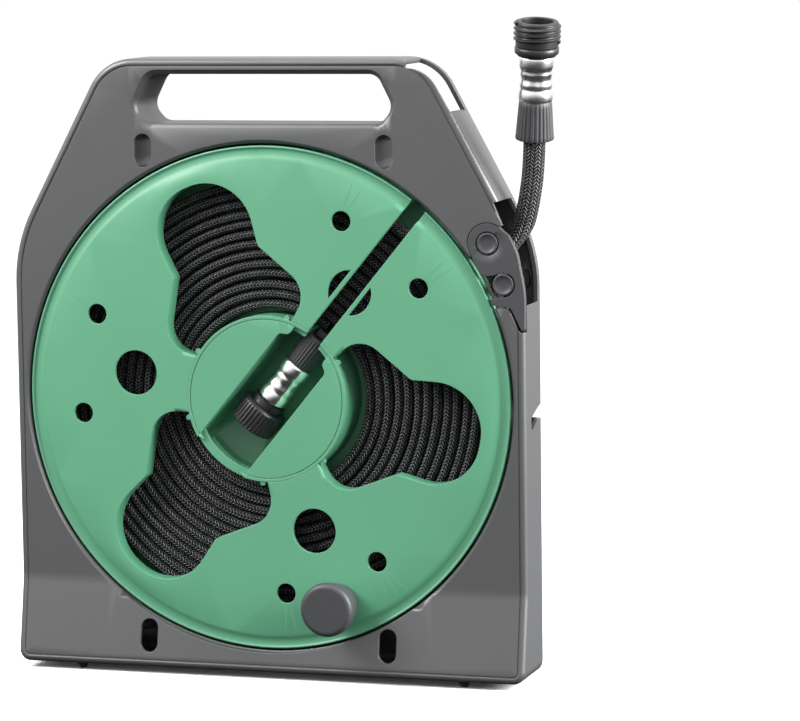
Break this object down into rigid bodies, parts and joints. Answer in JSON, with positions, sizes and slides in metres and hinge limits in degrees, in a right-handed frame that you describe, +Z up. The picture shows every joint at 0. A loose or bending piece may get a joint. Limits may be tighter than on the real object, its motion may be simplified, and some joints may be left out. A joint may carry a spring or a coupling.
{
  "type": "cassette hose reel",
  "caption": "Slim two-shell cassette reel with a carrying handle, a flanged reel with a crank knob and hub-stowed inlet, a hose gate and a flat garden hose.",
  "frame": {"origin": "on the floor under the feet, midway across the housing and midway between the knob's face and the housing's back", "axes": "+Z up towards the handle, +X to the hose exit's side as seen from the front, +Y from the knob's side to the back"},
  "size_m": [0.3343, 0.0668, 0.3844],
  "materials": {
    "housing_grey": "satin moulded, fine texture",
    "trim_grey": "satin moulded",
    "reel_green": "satin moulded",
    "black_plastic": "satin, ribbed",
    "foot_rubber": "matte",
    "ferrule_chrome": "polished",
    "zinc_steel": "zinc plated",
    "hose_braid": "woven sleeve, black with pale flecks",
    "seal_rubber": "matte"
  },
  "bodies": {
    "housing": {"front_shell": "housing_grey", "rear_shell": "housing_grey", "shell_screws": "zinc_steel", "feet": "foot_rubber", "axle_bush": "black_plastic", "gate_pin": "trim_grey", "latch_pin": "trim_grey", "hose_run": "hose_braid", "free_hose": "hose_braid", "end_collar": "trim_grey", "end_ferrule": "ferrule_chrome", "end_fitting": "black_plastic"},
    "reel": {"reel_front_flange": "reel_green", "reel_hub": "reel_green", "reel_rear_flange": "reel_green", "flange_screws": "zinc_steel", "axle_washer": "zinc_steel", "axle_screw": "zinc_steel", "knob_pin": "zinc_steel", "knob_clip": "zinc_steel", "hose_winding": "hose_braid", "inner_hose": "hose_braid", "inner_collar": "trim_grey", "inner_ferrule": "ferrule_chrome", "inner_stem": "black_plastic", "nut_washer": "seal_rubber"},
    "knob": {"crank_knob": "trim_grey"},
    "gate": {"hose_gate": "housing_grey"},
    "upper_roller": {"guide_roller_upper": "black_plastic"},
    "lower_roller": {"guide_roller_lower": "black_plastic"},
    "inlet_nut": {"swivel_nut": "black_plastic"}
  },
  "joints": [
    {"name": "reel_spin", "type": "hinge", "parent": "housing", "child": "reel", "pos_m": [0, 0.0146, 0.164], "axis": [0, -1, 0], "continuous": true},
    {"name": "knob_spin", "type": "hinge", "parent": "reel", "child": "knob", "pos_m": [0.04375, -0.0194, 0.04637], "axis": [0, -1, 0], "continuous": true},
    {"name": "gate_swing", "type": "hinge", "parent": "housing", "child": "gate", "pos_m": [0.1342, -0.0026, 0.2562], "axis": [0, -1, 0], "range_deg": [0, 20]},
    {"name": "upper_roller_spin", "type": "hinge", "parent": "housing", "child": "upper_roller", "pos_m": [0.1342, 0.0146, 0.2562], "axis": [0, -1, 0], "continuous": true},
    {"name": "lower_roller_spin", "type": "hinge", "parent": "housing", "child": "lower_roller", "pos_m": [0.1433, 0.0146, 0.2329], "axis": [0, -1, 0], "continuous": true},
    {"name": "nut_spin", "type": "hinge", "parent": "reel", "child": "inlet_nut", "pos_m": [-0.00956, 0.0092, 0.15244], "axis": [0.6374, 0, 0.7705], "continuous": true}
  ]
}
